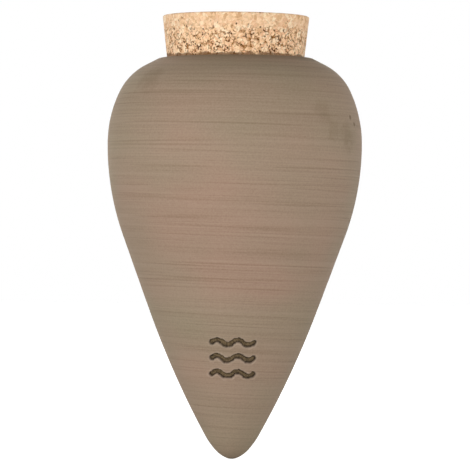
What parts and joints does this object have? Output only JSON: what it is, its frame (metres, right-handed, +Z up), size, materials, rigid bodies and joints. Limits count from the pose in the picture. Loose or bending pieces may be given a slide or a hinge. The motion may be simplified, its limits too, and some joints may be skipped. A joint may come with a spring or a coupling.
{
  "type": "irrigation olla",
  "caption": "Pointed unglazed clay vessel with a round belly and a tapered cork stopper, sunk into soil to water plants through its wall.",
  "frame": {"origin": "lowest point of the vessel's rounded tip, on its axis", "axes": "+Z up along the vessel's axis from the point to the stopper, -Y towards the pressed mark on the front"},
  "size_m": [0.104, 0.104, 0.181],
  "materials": {
    "clay": "matt unglazed fired clay with fine turning lines",
    "cork": "pressed cork granules, cut and sanded"
  },
  "bodies": {
    "vessel": {"clay_vessel": "clay"},
    "stopper": {"cork_stopper": "cork"}
  },
  "joints": [
    {"name": "stopper_pull", "type": "slide", "parent": "vessel", "child": "stopper", "axis": [0, 0, 1], "range_m": [0, 0.04]}
  ]
}
